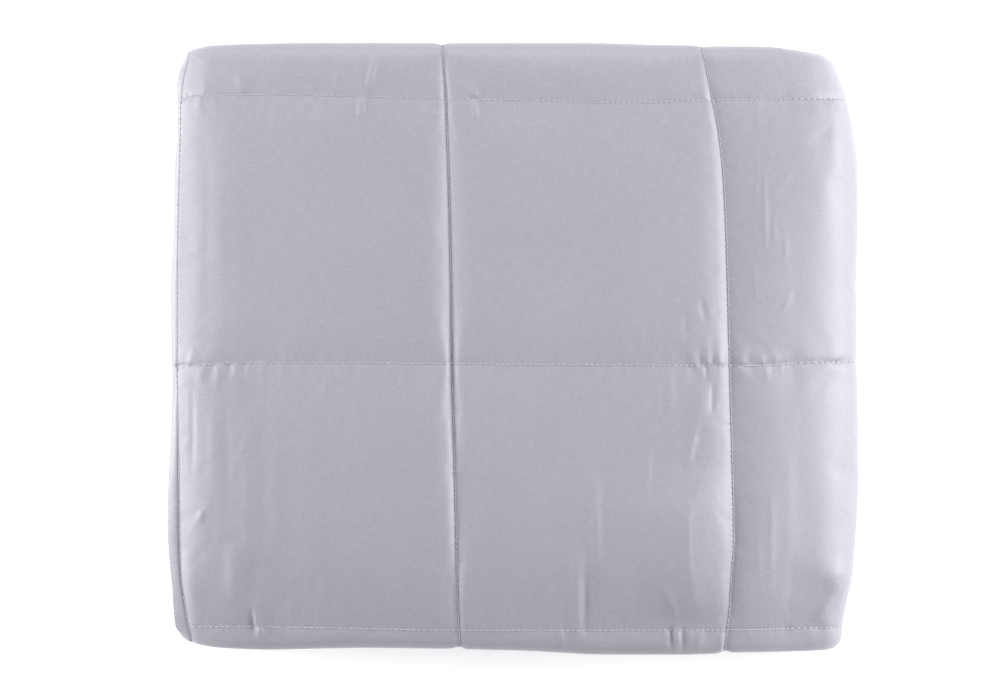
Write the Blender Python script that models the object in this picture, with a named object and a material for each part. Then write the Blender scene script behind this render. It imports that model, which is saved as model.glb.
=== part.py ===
"""A weighted blanket of quilted satin, folded twelve plies thick and lying flat.

Metres, +Z up, +X to the right, +Y to the back. The blanket is one filled cloth
of 1.0 x 1.5 m. It is folded in three across its width, which makes a bundle
three plies thick, and then in half twice along its length. The two rounds of
folds are two centre lines: ACROSS folds one ply into the bundle's section, and
ALONG carries that section back and forth through the pile. Every point of the
cloth is a distance on each line and a side of the ply.
"""

import bisect
import math

import bmesh
import bpy

# ---- The folded blanket ----
FOLDED_X = 0.384  # side to side, over the right roll
FOLDED_Y = 0.340  # front to back, over the two folds

# ---- The cloth ----
PLY = 0.0050  # a filled square, as full as the pile's weight lets it be
PLY_AT_SEAM = 0.0022  # a sewn seam, or the hem
PLY_PITCH = 0.0056  # from one ply of the bundle to the next
LAYER_GAP = 0.0010  # between two bundles in the pile
BUNDLE = 2 * PLY_PITCH + PLY
LAYER_PITCH = BUNDLE + LAYER_GAP
TUCK = 0.005  # from the wide fold to the edge tucked inside it
HEM_SETBACK = 0.001  # from the tight fold to the loose edge beside it

# ---- The quilting ----
CELL_ALONG = 0.150  # seam to seam, along the blanket's length
CELL_ACROSS = 0.148  # seam to seam, across its width
SQUARES_ALONG = 10  # the blanket's length, hem to hem
SEAMS_ON_PANEL = 3  # the seams that cross the outer panel of the bundle
FRONT_SEAM_Y = -0.156  # the seam on the top face nearest the front fold
HEM = 0.005  # the flat edge outside its topstitching
CHANNEL = 0.014  # from a seam to the shoulders of its channel
BORDER = 0.022  # from a hem's topstitching to the shoulder of the first square

# ---- How the pile strays from a block ----
# Rows from the front to the back: the place as a share of FOLDED_Y, how far the
# left and right sides lie inside FOLDED_X there, how far the top layer's hem
# reaches out over the one under it, and the share of its height the pile sinks.
FRONT_TO_BACK = (
    ("place", "left", "right", "overhang", "sink"),
    (0.00, 0.0104, 0.0100, 0.0008, 0.200),
    (0.06, 0.0040, 0.0067, 0.0008, 0.145),
    (0.26, 0.0010, 0.0010, 0.0009, 0.020),
    (0.60, 0.0036, 0.0003, 0.0020, 0.000),
    (0.86, 0.0070, 0.0026, 0.0018, 0.010),
    (0.95, 0.0080, 0.0085, 0.0030, 0.037),
    (1.00, 0.0114, 0.0140, 0.0017, 0.070),
)
# Rows from the left to the right: the place as a share of FOLDED_X, how far the
# front and back lie inside FOLDED_Y there, and the share the pile sinks.
LEFT_TO_RIGHT = (
    ("place", "front", "back", "sink"),
    (0.00, 0.0066, 0.0068, 0.170),
    (0.06, 0.0030, 0.0010, 0.083),
    (0.42, 0.0022, 0.0003, 0.000),
    (0.60, 0.0000, 0.0006, 0.000),
    (0.90, 0.0008, 0.0028, 0.100),
    (1.00, 0.0036, 0.0088, 0.080),
)

# ---- The satin ----
SATIN_COLOUR = (0.560, 0.560, 0.620, 1.0)
SATIN_ROUGHNESS = 0.55
SHARP_EDGE = math.radians(50)

# ---- Pieces of the two centre lines, counted from 0 ----
TOP_RUN = 0
LOWEST_RUN = 2
TIGHT_FOLD = 1
OUTER_PANEL = 2
WIDE_FOLD = 3

# ---- How finely the cloth is cut into rows ----
ROLL_STEPS = 9  # the pile's wide roll
INNER_ROLL_STEPS = 4  # the two rolls inside it
WIDE_FOLD_STEPS = 5  # the bundle's fold round its tucked edge
TIGHT_FOLD_STEPS = 3  # the bundle's other fold
CLOSEST_ROWS = 0.0028


def column(table, name):
    """A table's places and one of its named columns."""
    index = table[0].index(name)
    return [row[0] for row in table[1:]], [row[index] for row in table[1:]]


def read_table(table, name, share):
    """A named column's value at a share of the side, straight between its rows."""
    places, values = column(table, name)
    high = max(1, min(bisect.bisect_left(places, share), len(places) - 1))
    step = (share - places[high - 1]) / (places[high] - places[high - 1])
    return values[high - 1] + (values[high] - values[high - 1]) * step


def level_run(start, end, level):
    """A straight stretch of a centre line, and the way that its face looks."""
    way = math.copysign(1.0, end - start)

    def at(distance):
        return start + way * distance, level, 0.0, way

    return {"length": abs(end - start), "at": at, "steps": 1, "from": start, "to": end}


def half_turn(place, side, level, next_level, steps):
    """A fold between two runs, which bulges to the right where side is 1."""
    radius = abs(level - next_level) / 2
    middle = (level + next_level) / 2
    rise = math.copysign(1.0, level - middle)

    def at(distance):
        angle = distance / radius
        across = place + side * radius * math.sin(angle)
        up = middle + rise * radius * math.cos(angle)
        return across, up, rise * math.sin(angle), side * math.cos(angle)

    return {"length": math.pi * radius, "at": at, "steps": steps}


def starts_of(line):
    """The distance at which each piece of a centre line starts, and its end."""
    starts = [0.0]
    for piece in line:
        starts.append(starts[-1] + piece["length"])
    return starts


def point_on(line, starts, distance):
    """Place, level and face direction at a distance along a centre line."""
    index = min(bisect.bisect_right(starts, distance), len(line)) - 1
    return line[index]["at"](distance - starts[index])


def make_across():
    """The bundle's section, from the edge tucked inside to the loose edge below."""
    tight_end = -FOLDED_Y / 2 + (PLY_PITCH + PLY) / 2
    wide_end = FOLDED_Y / 2 - PLY_PITCH - PLY / 2
    return [
        level_run(wide_end - TUCK, tight_end, 0.0),
        half_turn(tight_end, -1, 0.0, PLY_PITCH, TIGHT_FOLD_STEPS),
        level_run(tight_end, wide_end, PLY_PITCH),
        half_turn(wide_end, 1, PLY_PITCH, -PLY_PITCH, WIDE_FOLD_STEPS),
        level_run(wide_end, tight_end + HEM_SETBACK, -PLY_PITCH),
    ]


def make_along():
    """The pile's line: the top layer, the lowest, the third and the second."""
    lowest, third, second, top = (BUNDLE / 2 + LAYER_PITCH * k for k in range(4))
    left_hem = -FOLDED_X / 2
    left_turn = left_hem + BUNDLE + LAYER_GAP / 2
    right_turn = FOLDED_X / 2 - (top - lowest) / 2 - BUNDLE / 2
    return [
        level_run(left_hem, right_turn, top),
        half_turn(right_turn, 1, top, lowest, ROLL_STEPS),
        level_run(right_turn, left_turn, lowest),
        half_turn(left_turn, -1, lowest, third, INNER_ROLL_STEPS),
        level_run(left_turn, right_turn, third),
        half_turn(right_turn, 1, third, second, INNER_ROLL_STEPS),
        level_run(right_turn, left_hem, second),
    ]


def rows_of(line, seams, table, size):
    """Where the cloth has a row of points.

    Every ply has one at each place of the table, so that the plies bend
    together and stay apart, and one at each hem and seam. The shoulders of the
    hems and channels and the steps of the folds have one where there is room.
    """
    starts = starts_of(line)
    length = starts[-1]
    kept = [0.0, HEM, length - HEM, length] + list(seams)
    wanted = [HEM + BORDER, length - HEM - BORDER]
    for seam in seams:
        wanted += [seam - CHANNEL, seam + CHANNEL]
    for start, piece in zip(starts, line):
        if "from" in piece:
            low, high = sorted((piece["from"], piece["to"]))
            places = [(place - 0.5) * size for place in column(table, "place")[0]]
            kept += [start + abs(p - piece["from"]) for p in places if low < p < high]
        for step in range(piece["steps"] + 1):
            wanted.append(start + piece["length"] * step / piece["steps"])
    for distance in wanted:
        if all(abs(distance - other) > CLOSEST_ROWS for other in kept):
            kept.append(distance)
    return sorted(kept)


def hem_fullness(distance, length):
    """How full the cloth is beside its edges: 0 on a hem, 1 past its border."""
    from_edge = min(distance, length - distance) - HEM
    return max(0.0, min(1.0, from_edge / BORDER))


def seam_fullness(distance, seams):
    """How full the cloth is beside its seams: 0 on a seam, 1 past its channel."""
    return min(1.0, min(abs(distance - seam) for seam in seams) / CHANNEL)


def outlined(x, y):
    """Moves a point of the block so that its four sides follow the tables."""
    u = x / FOLDED_X + 0.5
    v = y / FOLDED_Y + 0.5
    left = read_table(FRONT_TO_BACK, "left", v)
    right = read_table(FRONT_TO_BACK, "right", v)
    front = read_table(LEFT_TO_RIGHT, "front", u)
    back = read_table(LEFT_TO_RIGHT, "back", u)
    return x + (1 - u) * left - u * right, y + (1 - v) * front - v * back


def sunk(x, y, z):
    """Lowers the pile towards its rims, and leaves its lowest face where it is."""
    share = read_table(FRONT_TO_BACK, "sink", y / FOLDED_Y + 0.5)
    share += read_table(LEFT_TO_RIGHT, "sink", x / FOLDED_X + 0.5)
    return z * (1 - share)


def cloth_points(along, across, seams_along, seams_across, side):
    """The grid of points on one side of the cloth: 1 is its face, -1 its back.

    The pile presses its plies flat, so the channels show only on the face of
    the outer panel and its two folds, and not where the pile rests.
    """
    starts_along = starts_of(along)
    starts_across = starts_of(across)
    top_run_end = starts_along[TOP_RUN + 1]
    lowest_run = starts_along[LOWEST_RUN : LOWEST_RUN + 2]
    outer_panel = starts_across[OUTER_PANEL : OUTER_PANEL + 2]
    outside = starts_across[TIGHT_FOLD], starts_across[WIDE_FOLD + 1]
    rows_across = rows_of(across, seams_across, FRONT_TO_BACK, FOLDED_Y)
    grid = []
    for s in rows_of(along, seams_along, LEFT_TO_RIGHT, FOLDED_X):
        x_line, z_line, face_x, face_z = point_on(along, starts_along, s)
        row = []
        for t in rows_across:
            y_line, out_line, face_y, face_out = point_on(across, starts_across, t)
            full = min(hem_fullness(s, starts_along[-1]), hem_fullness(t, starts_across[-1]))
            rests = lowest_run[0] <= s <= lowest_run[1] and outer_panel[0] <= t <= outer_panel[1]
            if side == 1 and outside[0] <= t <= outside[1] and not rests:
                full = min(full, seam_fullness(s, seams_along), seam_fullness(t, seams_across))
            half = (PLY_AT_SEAM + (PLY - PLY_AT_SEAM) * full) / 2
            out = out_line + side * half * face_out
            x = x_line + out * face_x
            y = y_line + side * half * face_y
            z = z_line + out * face_z
            if s < top_run_end:
                overhang = read_table(FRONT_TO_BACK, "overhang", y / FOLDED_Y + 0.5)
                x -= overhang * (1 - s / top_run_end)
            row.append((*outlined(x, y), sunk(x, y, z)))
        grid.append(row)
    return grid


def rim_of(rows, columns):
    """The grid's edge, once round."""
    rim = [(i, 0) for i in range(rows)] + [(rows - 1, j) for j in range(1, columns)]
    rim += [(i, columns - 1) for i in range(rows - 2, -1, -1)]
    return rim + [(0, j) for j in range(columns - 2, 0, -1)]


def cloth_mesh(name, face_side, back_side):
    """One closed mesh: the face, the back, and the edge all round between them."""
    rows, columns = len(face_side), len(face_side[0])
    shape = bmesh.new()
    face = [[shape.verts.new(point) for point in row] for row in face_side]
    back = [[shape.verts.new(point) for point in row] for row in back_side]
    for i in range(rows - 1):
        for j in range(columns - 1):
            shape.faces.new((face[i][j], face[i + 1][j], face[i + 1][j + 1], face[i][j + 1]))
            shape.faces.new((back[i][j], back[i][j + 1], back[i + 1][j + 1], back[i + 1][j]))
    rim = rim_of(rows, columns)
    for (i, j), (k, m) in zip(rim, rim[1:] + rim[:1]):
        shape.faces.new((face[k][m], face[i][j], back[i][j], back[k][m]))
    bmesh.ops.triangulate(shape, faces=shape.faces[:])
    bmesh.ops.recalc_face_normals(shape, faces=shape.faces[:])
    mesh = bpy.data.meshes.new(name)
    shape.to_mesh(mesh)
    shape.free()
    return mesh


def satin():
    """Light grey satin."""
    material = bpy.data.materials.new("satin")
    material.use_nodes = True
    shader = material.node_tree.nodes["Principled BSDF"]
    shader.inputs["Base Color"].default_value = SATIN_COLOUR
    shader.inputs["Roughness"].default_value = SATIN_ROUGHNESS
    shader.inputs["Metallic"].default_value = 0.0
    return material


def make_blanket():
    """The whole blanket, which is one filled cloth."""
    along = make_along()
    across = make_across()
    length, width = starts_of(along)[-1], starts_of(across)[-1]
    front_seam = starts_of(across)[OUTER_PANEL] + FRONT_SEAM_Y - across[OUTER_PANEL]["from"]
    seams_along = [CELL_ALONG * count for count in range(1, SQUARES_ALONG)]
    seams_across = [front_seam + CELL_ACROSS * count for count in range(SEAMS_ON_PANEL)]
    face_side = cloth_points(along, across, seams_along, seams_across, 1)
    back_side = cloth_points(along, across, seams_along, seams_across, -1)
    mesh = cloth_mesh("blanket", face_side, back_side)
    mesh.materials.append(satin())
    blanket = bpy.data.objects.new("blanket", mesh)
    bpy.context.scene.collection.objects.link(blanket)
    mesh.shade_smooth()
    mesh.set_sharp_from_angle(angle=SHARP_EDGE)
    print(f"cloth {length:.3f} x {width:.3f} m, {len(mesh.polygons)} triangles")


def main():
    for thing in list(bpy.data.objects):
        bpy.data.objects.remove(thing)
    make_blanket()


main()
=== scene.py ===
# %% [markdown]
# # A folded weighted blanket
#
# A weighted blanket is two satin cloths with fibre and small beads between
# them, sewn through in squares so that the filling stays in its place. This one
# is folded in three across its width and then in half twice along its length,
# so twelve plies lie in the pile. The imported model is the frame: it says where
# the pile lies and how big it is. This lesson makes what is seen of it: the
# folds, the filled squares, the creases, the thread and the satin.

# %% Load the frame
import math
import random

import bpy
import numpy as np
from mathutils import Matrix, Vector, noise


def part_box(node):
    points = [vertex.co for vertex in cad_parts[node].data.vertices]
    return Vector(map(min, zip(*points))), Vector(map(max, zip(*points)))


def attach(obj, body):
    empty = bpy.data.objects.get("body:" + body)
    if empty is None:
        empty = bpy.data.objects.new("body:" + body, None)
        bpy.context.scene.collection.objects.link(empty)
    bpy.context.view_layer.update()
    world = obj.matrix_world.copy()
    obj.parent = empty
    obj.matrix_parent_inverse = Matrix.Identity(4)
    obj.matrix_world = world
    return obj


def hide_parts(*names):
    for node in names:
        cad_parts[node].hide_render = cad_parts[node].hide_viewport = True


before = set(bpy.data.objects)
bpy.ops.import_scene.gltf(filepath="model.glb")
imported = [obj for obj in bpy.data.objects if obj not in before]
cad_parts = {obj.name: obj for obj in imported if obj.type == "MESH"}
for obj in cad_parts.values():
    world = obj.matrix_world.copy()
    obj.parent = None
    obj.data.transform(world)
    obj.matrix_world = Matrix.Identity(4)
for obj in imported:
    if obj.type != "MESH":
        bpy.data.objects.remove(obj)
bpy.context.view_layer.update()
LOW, HIGH = (np.array(corner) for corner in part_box("blanket"))
print("pile", np.round((HIGH - LOW) * 1000, 1), "mm")

# %% [markdown]
# ## The camera
#
# The pile is looked at from straight above, from far enough away that its sides
# hardly show. Making the camera first lets every later step be judged from it.

# %% Camera over the pile
MM = 0.001
PIXELS_PER_MM = 1.8
IMAGE_WIDE, IMAGE_HIGH = 1000, 692
MIDDLE_AT = (513.3, 348.5)  # where the middle of the pile falls in the image
CAMERA_UP = 5.0
PILE_TOP = 0.066

camera_data = bpy.data.cameras.new("camera")
camera_data.sensor_width = 36.0
camera_data.lens = 36.0 * (CAMERA_UP - PILE_TOP) / (IMAGE_WIDE / PIXELS_PER_MM * MM)
camera_data.clip_end = 10.0
camera = bpy.data.objects.new("camera", camera_data)
camera.location = (
    (IMAGE_WIDE / 2 - MIDDLE_AT[0]) / PIXELS_PER_MM * MM,
    (MIDDLE_AT[1] - IMAGE_HIGH / 2) / PIXELS_PER_MM * MM,
    CAMERA_UP,
)
bpy.context.scene.collection.objects.link(camera)
bpy.context.scene.camera = camera
print("lens", round(camera_data.lens, 1), "mm")

# %% [markdown]
# ## How the cloth is folded
#
# Each point of the cloth has two names: how far along the cloth it lies, and
# how far across. Folding gives every name a place. So the fold is written as
# two centre lines, each a chain of level runs and half turns, and a point's
# place comes from both. A modelled sheet could be bent by hand with Spin, but
# then no row of it would know which seam it lies on.

# %% The cloth's sizes, as it was cut, sewn and folded
FOLDED_X, FOLDED_Y = 0.384, 0.340
PLY, PLY_PITCH, LAYER_GAP = 0.0050, 0.0056, 0.0010
BUNDLE = 2 * PLY_PITCH + PLY
LAYER_PITCH = BUNDLE + LAYER_GAP
CELL_ALONG, CELL_ACROSS = 0.150, 0.148
FRONT_SEAM_Y = -0.156
HEM, HEM_ROUND, HEM_RISE = 0.005, 0.0014, 0.0038
BORDER = 0.014
print("a bundle of three plies is", round(BUNDLE / MM, 1), "mm thick")


# %% Level runs and half turns
def level_run(start, end, level):
    way = math.copysign(1.0, end - start)

    def at(d):
        return start + way * d, level + 0 * d, 0 * d, way + 0 * d

    return {"length": abs(end - start), "at": at}


def half_turn(place, side, level, next_level):
    radius, middle = abs(level - next_level) / 2, (level + next_level) / 2
    rise = math.copysign(1.0, level - middle)

    def at(d):
        sine, cosine = np.sin(d / radius), np.cos(d / radius)
        return place + side * radius * sine, middle + rise * radius * cosine, rise * sine, side * cosine

    return {"length": math.pi * radius, "at": at}


def starts_of(line):
    return np.concatenate([[0.0], np.cumsum([piece["length"] for piece in line])])


def on_line(line, distances):
    """Place, level and face direction at distances along a centre line."""
    starts = starts_of(line)
    found = np.zeros((4, len(distances)))
    index = np.clip(np.searchsorted(starts, distances, side="right") - 1, 0, len(line) - 1)
    for k, piece in enumerate(line):
        on_piece = index == k
        found[:, on_piece] = piece["at"](distances[on_piece] - starts[k])
    return found


# %% The line across the cloth: tucked panel, outer panel, panel underneath
tight_end = -FOLDED_Y / 2 + (PLY_PITCH + PLY) / 2
wide_end = FOLDED_Y / 2 - PLY_PITCH - PLY / 2
ACROSS = [
    level_run(wide_end - 0.005, tight_end, 0.0),
    half_turn(tight_end, -1, 0.0, PLY_PITCH),
    level_run(tight_end, wide_end, PLY_PITCH),
    half_turn(wide_end, 1, PLY_PITCH, -PLY_PITCH),
    level_run(wide_end, tight_end + 0.001, -PLY_PITCH),
]
ACROSS_STARTS = starts_of(ACROSS)
WIDTH = ACROSS_STARTS[-1]
PANEL = ACROSS_STARTS[2:4]
SHOWS_ACROSS = (ACROSS_STARTS[1], ACROSS_STARTS[4])
SEAMS_ACROSS = PANEL[0] + FRONT_SEAM_Y - tight_end + CELL_ACROSS * np.arange(3)
print("cloth", round(WIDTH, 3), "m wide")

# %% The line along the cloth: top layer, wide roll, lowest, third and second
lowest, third, second, top = (BUNDLE / 2 + LAYER_PITCH * k for k in range(4))
left_hem, left_turn = -FOLDED_X / 2, -FOLDED_X / 2 + BUNDLE + LAYER_GAP / 2
right_turn = FOLDED_X / 2 - (top - lowest) / 2 - BUNDLE / 2
ALONG = [
    level_run(left_hem, right_turn, top),
    half_turn(right_turn, 1, top, lowest),
    level_run(right_turn, left_turn, lowest),
    half_turn(left_turn, -1, lowest, third),
    level_run(left_turn, right_turn, third),
    half_turn(right_turn, 1, third, second),
    level_run(right_turn, left_hem, second),
]
ALONG_STARTS = starts_of(ALONG)
LENGTH = ALONG_STARTS[-1]
SHOWS_ALONG = ALONG_STARTS[2]
SEAMS_ALONG = CELL_ALONG * np.arange(1, 10)
print("cloth", round(LENGTH, 3), "m long, in", len(SEAMS_ALONG) + 1, "squares")

# %% [markdown]
# ## The pile's outline
#
# A folded blanket isn't a neat box. Its layers step back from each other, its
# corners round off and it sags towards its rims. Short tables say how far each
# side lies inside the pile's box and how far the top sinks, and a smooth line
# through their rows bends the whole pile, so the plies can't cut each other.
# The roll at the right sags by an amount of its own, least at its back end.


# %% A smooth line through given values
def smooth_line(places, values, tangents, at):
    """Values at new places on cubic pieces; places run along the first axis."""
    k = np.clip(np.searchsorted(places, at, side="right") - 1, 0, len(places) - 2)
    spread = k.shape + (1,) * (values.ndim - 1)
    step = (places[k + 1] - places[k]).reshape(spread)
    u = (at - places[k]).reshape(spread) / step
    start, end = (1 + 2 * u) * (1 - u) ** 2, u * u * (3 - 2 * u)
    lead, trail = step * u * (1 - u) ** 2, step * u * u * (u - 1)
    return start * values[k] + end * values[k + 1] + lead * tangents[k] + trail * tangents[k + 1]


def curve(table, name, at):
    """A table's named column along its places, with no overshoot between its rows."""
    rows = np.array(table[1:], float)
    places, values = rows[:, 0], rows[:, table[0].index(name)]
    step, slope = np.diff(places), np.diff(values) / np.diff(places)
    tangents = np.zeros_like(values)
    tangents[0], tangents[-1] = slope[0], slope[-1]
    same_way = slope[:-1] * slope[1:] > 0
    before, after = 2 * step[1:] + step[:-1], step[1:] + 2 * step[:-1]
    with np.errstate(divide="ignore", invalid="ignore"):
        mean = (before + after) / (before / slope[:-1] + after / slope[1:])
    tangents[1:-1][same_way] = mean[same_way]
    return smooth_line(places, values, tangents, np.clip(at, places[0], places[-1]))


# %% The outline and the sag, in millimetres inside the pile's box
FRONT_TO_BACK = (
    ("place", "top_hem", "second_hem", "lower_fold", "right", "sink", "right_sink"),
    (0.000, 9.2, 10.0, 11.0, 9.2, 14.8, 5.4),
    (0.014, 6.0, 6.8, 9.0, 8.2, 14.1, 5.4),
    (0.032, 3.7, 4.5, 7.5, 7.6, 12.8, 5.4),
    (0.056, 2.6, 3.4, 6.0, 6.8, 10.8, 5.2),
    (0.085, 2.0, 2.8, 5.2, 5.0, 8.3, 4.2),
    (0.110, 1.6, 2.4, 5.0, 3.0, 6.5, 3.6),
    (0.154, 0.3, 1.1, 5.4, 1.2, 4.3, 4.4),
    (0.220, -0.7, 0.2, 6.0, -0.2, 2.1, 6.0),
    (0.285, -0.3, 0.6, 6.5, -0.9, 1.0, 6.0),
    (0.350, 1.0, 1.8, 6.5, -1.0, 0.4, 5.0),
    (0.410, 2.1, 2.9, 6.0, -0.8, 0.2, 3.8),
    (0.435, 3.2, 4.0, 6.0, -0.5, 0.1, 3.5),
    (0.475, 1.9, 3.6, 6.2, -0.2, 0.0, 2.7),
    (0.600, 1.2, 3.6, 5.0, 0.1, 0.0, 0.3),
    (0.694, 2.9, 5.2, 5.2, -0.4, 0.0, -2.2),
    (0.780, 3.2, 6.0, 7.0, -0.4, 0.1, -4.4),
    (0.875, 5.6, 7.2, 9.0, 3.0, 0.8, -5.6),
    (0.932, 4.5, 7.6, 9.5, 7.0, 1.95, -5.6),
    (0.965, 5.4, 8.6, 10.0, 9.8, 3.0, -5.6),
    (0.985, 7.4, 9.8, 10.8, 11.6, 3.8, -5.6),
    (1.000, 9.7, 11.4, 12.2, 13.4, 4.6, -5.6),
)
LEFT_TO_RIGHT = (
    ("place", "front", "back", "sink"),
    (0.000, 6.4, 6.8, 12.2),
    (0.010, 5.2, 4.2, 10.3),
    (0.018, 4.6, 2.8, 9.2),
    (0.032, 3.8, 1.8, 8.0),
    (0.047, 3.2, 1.1, 6.6),
    (0.061, 2.8, 0.8, 5.5),
    (0.076, 2.5, 0.6, 4.7),
    (0.104, 2.1, 0.3, 3.7),
    (0.129, 1.9, 0.1, 3.1),
    (0.190, 2.4, -0.3, 1.4),
    (0.263, 2.9, -0.4, 0.4),
    (0.385, 2.4, -0.2, 0.0),
    (0.481, 1.4, -0.3, 0.0),
    (0.611, -0.8, -0.2, 0.2),
    (0.711, -0.8, 0.8, 1.0),
    (0.765, -0.3, 1.1, 2.2),
    (0.806, 0.3, 1.5, 3.3),
    (0.835, 0.5, 1.6, 4.2),
    (0.857, 0.5, 1.6, 5.0),
    (0.886, 0.6, 1.8, 6.6),
    (0.915, 0.7, 2.8, 8.3),
    (0.937, 0.8, 3.8, 8.9),
    (0.958, 1.0, 4.8, 8.4),
    (0.980, 1.4, 5.8, 6.2),
    (1.000, 2.6, 8.2, 3.6),
)
EDGE_REACH = 0.30  # how far into the pile its outline is felt, as a share
front_sinks, left_sinks = (float(curve(table, "sink", 0.0)) for table in (FRONT_TO_BACK, LEFT_TO_RIGHT))
print("the front rim sinks", front_sinks, "mm, the left", left_sinks, "mm")


# %% Moving points onto the outline
def near(share):
    """How much a point feels the side at share 0: all of it there, none at EDGE_REACH."""
    return np.clip(1 - share / EDGE_REACH, 0, 1) ** 1.6


def outlined(x, y, left):
    """Moves a point of the box so that its sides follow the tables."""
    u, v = x / FOLDED_X + 0.5, y / FOLDED_Y + 0.5
    right = curve(FRONT_TO_BACK, "right", v)
    front, back = (curve(LEFT_TO_RIGHT, side, u) for side in ("front", "back"))
    return (
        x + (near(u) * left - near(1 - u) * right) * MM,
        y + (near(v) * front - near(1 - v) * back) * MM,
    )


def sunk(x, y, z):
    """Lowers the pile towards its rims, more at the top than at the bottom."""
    u, v = x / FOLDED_X + 0.5, y / FOLDED_Y + 0.5
    fall = curve(FRONT_TO_BACK, "sink", v) + curve(LEFT_TO_RIGHT, "sink", u)
    fall = fall + near(1 - u) * curve(FRONT_TO_BACK, "right_sink", v)
    return z - fall * MM * z / PILE_TOP


# %% How the layers lie unevenly on each other
LAYERS = (
    ("place", "front", "back"),
    (0.00, 0.0, 0.0),
    (0.27, 0.0, 0.0),
    (0.33, 1.6, 2.2),
    (0.52, 2.4, 1.0),
    (0.60, 0.6, 2.6),
    (0.76, 1.4, 1.4),
    (0.84, 2.2, 0.4),
    (1.00, 0.8, 1.8),
)
WAVER = 0.5  # how far the lower layers' edges wander, in millimetres
WAVER_LENGTHS = (0.061, 0.137)


def layered(s, y):
    """Draws in the ends of the lower layers, by an amount that changes along the cloth."""
    share, v = s / LENGTH, y / FOLDED_Y + 0.5
    wander = sum(np.sin(2 * np.pi * s / length + length) for length in WAVER_LENGTHS)
    wander = WAVER * wander * np.clip((share - 0.27) / 0.06, 0, 1)
    front, back = curve(LAYERS, "front", share) + wander, curve(LAYERS, "back", share) - wander
    return y + (near(v) * front - near(1 - v) * back) * MM


# %% [markdown]
# ## Rows of points
#
# The cloth is a grid of rows along and across. Rows stand close together where
# the cloth shows, closest beside the seams and at the rounded hem, and far
# apart where it is folded away. Each seam has a row of its own.


# %% Where the rows lie
FINE_ALONG, FINE_ACROSS = 0.0013, 0.0024
MEDIUM, COARSE = 0.006, 0.012
ROLL_STEP, TURN_STEP, ROUND_STEP = 0.0026, 0.004, 0.0012
FRONT_TURN_STEP, BACK_TURN_STEP = 0.0014, 0.0016
BESIDE_SEAM = (0.0005, 0.0011, 0.0019, 0.0030)
BESIDE_HEM = (0.0011, 0.0008, 0.0005, 0.0)
FINE_ROUNDING, COARSE_ROUNDING = (0.05, 0.17, 0.37, 0.65), (0.15, 0.5)  # shares of the rounded hem
UNDERSIDE = 0.030  # how much of the cloth beside a tucked hem may have long rows


def rows(stops):
    """Distances up to each stop in turn, at about the step beside it."""
    found = [0.0]
    for stop, step in stops:
        count = max(1, round((stop - found[-1]) / step))
        found += list(np.linspace(found[-1], stop, count + 1)[1:])
    return np.array(found)


def around(seam, step):
    """Stops for a seam that shows, with rows crowding up to it on both sides."""
    stops = [(seam - gap, step) for gap in reversed(BESIDE_SEAM)] + [(seam, step)]
    return stops + [(seam + gap, step) for gap in BESIDE_SEAM]


# %% Rows along and across the cloth
hem_stops = [(HEM_RISE * share, HEM) for share in FINE_ROUNDING]
hem_stops += [(HEM - gap, ROUND_STEP) for gap in BESIDE_HEM]
ROWS_ALONG = rows(
    hem_stops
    + around(SEAMS_ALONG[0], FINE_ALONG)
    + around(SEAMS_ALONG[1], FINE_ALONG)
    + [(ALONG_STARTS[1], FINE_ALONG), (SHOWS_ALONG, ROLL_STEP)]
    + [(seam, COARSE) for seam in SEAMS_ALONG[3:5]]
    + [(ALONG_STARTS[3], COARSE), (ALONG_STARTS[4], TURN_STEP)]
    + [(seam, COARSE) for seam in SEAMS_ALONG[5:7]]
    + [(ALONG_STARTS[5], COARSE), (ALONG_STARTS[6], TURN_STEP)]
    + [(seam, COARSE) for seam in SEAMS_ALONG[7:]]
    + [(LENGTH - HEM, COARSE)]
    + [(LENGTH - HEM_RISE * share, ROUND_STEP) for share in (*reversed(FINE_ROUNDING), 0.0)]
)
ROWS_ACROSS = rows(
    [(HEM_RISE * share, HEM) for share in COARSE_ROUNDING] + [(HEM, HEM)]
    + [(PANEL[0] - UNDERSIDE, UNDERSIDE), (ACROSS_STARTS[1], MEDIUM), (PANEL[0], FRONT_TURN_STEP)]
    + around(SEAMS_ACROSS[0], FINE_ACROSS)
    + around(SEAMS_ACROSS[1], FINE_ACROSS)
    + around(SEAMS_ACROSS[2], FINE_ACROSS)
    + [(PANEL[1], FINE_ACROSS), (ACROSS_STARTS[4], BACK_TURN_STEP)]
    + [(ACROSS_STARTS[4] + 0.020, TURN_STEP), (WIDTH - UNDERSIDE, UNDERSIDE), (WIDTH - HEM, MEDIUM)]
    + [(WIDTH - HEM_RISE * share, HEM) for share in (*reversed(COARSE_ROUNDING), 0.0)]
)
print(len(ROWS_ALONG), "x", len(ROWS_ACROSS), "points on the face")

# %% [markdown]
# ## The seams
#
# Each seam is sewn straight, but it lies in gentle bows once the squares are
# filled and folded. Sewing pulls the cloth down into a groove. The two seams
# that run from front to back are deep, because the layer bends over them, and
# the second has a step beside it: its right side lies low and nearly flat. The
# hem is sewn as well, in a groove that is steep on its outer side and fades
# towards the back. The thread lies on a narrow flat strip at each seam's floor.

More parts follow.
